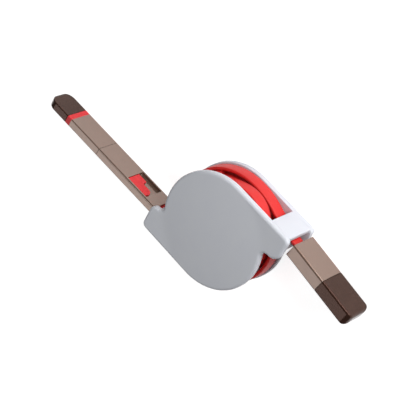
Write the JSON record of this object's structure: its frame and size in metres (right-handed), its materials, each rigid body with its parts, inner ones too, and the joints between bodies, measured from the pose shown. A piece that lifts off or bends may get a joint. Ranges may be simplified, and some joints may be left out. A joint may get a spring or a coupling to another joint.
{
  "type": "retractable charging cable",
  "caption": "Round reel with a flat cable drawn from both sides, one end a type-A plug, the other a two-in-one plug, both capped.",
  "frame": {"origin": "on the reel's axis at the outer face of the rear cover, which it rests on", "axes": "+Z along the reel's axis to the front cover, +X to the mouth of the type-A plug, along the object's length"},
  "size_m": [0.1725, 0.052, 0.021],
  "materials": {
    "white_shell": "glossy moulded",
    "grey_plastic": "moulded",
    "dark_plastic": "moulded",
    "spring_steel": "rolled",
    "red_cable": "smooth jacket",
    "tan_shell": "satin",
    "plug_metal": "bright plated",
    "white_insulator": "moulded",
    "gold_contact": "plated",
    "smoky_cap": "tinted clear",
    "red_silicone": "moulded silicone"
  },
  "bodies": {
    "covers": {"front_cover": "white_shell", "rear_cover": "white_shell", "turn_to_type_a": "red_cable", "turn_to_micro": "red_cable"},
    "reel": {"spool": "grey_plastic", "power_spring": "spring_steel", "spring_lid": "dark_plastic", "cable_coils": "red_cable"},
    "ball": {"lock_ball": "spring_steel"},
    "type_a_end": {"type_a_sleeve": "tan_shell", "type_a_core": "dark_plastic", "type_a_shell": "plug_metal", "type_a_tongue": "white_insulator", "type_a_contacts": "gold_contact", "lead_type_a": "red_cable"},
    "type_a_end_cap": {"type_a_cap": "smoky_cap"},
    "micro_end": {"micro_base": "tan_shell", "micro_lid": "tan_shell", "micro_shell": "plug_metal", "micro_tongue": "dark_plastic", "micro_contacts": "gold_contact", "tether_strap": "red_silicone", "lead_micro": "red_cable"},
    "adapter": {"adapter_base": "tan_shell", "adapter_lid": "tan_shell", "adapter_socket": "plug_metal", "eight_pin_blade": "plug_metal", "eight_pin_contacts": "gold_contact", "cap_ring": "red_silicone"},
    "adapter_cap": {"tip_cap": "smoky_cap"}
  },
  "joints": [
    {"name": "reel_turn", "type": "hinge", "parent": "covers", "child": "reel", "pos_m": [0, 0, 0.0105], "axis": [0, 0, -1], "range_deg": [0, 936], "stiffness_Nm_per_rad": 0.0015, "springref_deg": -229.18},
    {"name": "type_a_pull", "type": "slide", "parent": "covers", "child": "type_a_end", "axis": [0.9863, -0.165, 0], "range_m": [0, 0.35]},
    {"name": "micro_pull", "type": "slide", "parent": "covers", "child": "micro_end", "axis": [-0.9995, 0.0314, 0], "range_m": [0, 0.35]},
    {"name": "type_a_cap_pull", "type": "slide", "parent": "type_a_end", "child": "type_a_end_cap", "axis": [0.9863, -0.165, 0], "range_m": [0, 0.03]},
    {"name": "adapter_pull", "type": "slide", "parent": "micro_end", "child": "adapter", "axis": [-0.9995, 0.0314, 0], "range_m": [0, 0.02]},
    {"name": "tip_cap_pull", "type": "slide", "parent": "adapter", "child": "adapter_cap", "axis": [-0.9995, 0.0314, 0], "range_m": [0, 0.02]},
    {"name": "lock_ball_slide", "type": "slide", "parent": "covers", "child": "ball", "axis": [-1, 0, 0], "range_m": [0, 0.0019]}
  ],
  "couplings": [
    {"joint": "type_a_pull", "follows": "reel_turn", "m_per_rad": 0.0214},
    {"joint": "micro_pull", "follows": "reel_turn", "m_per_rad": 0.0214}
  ]
}
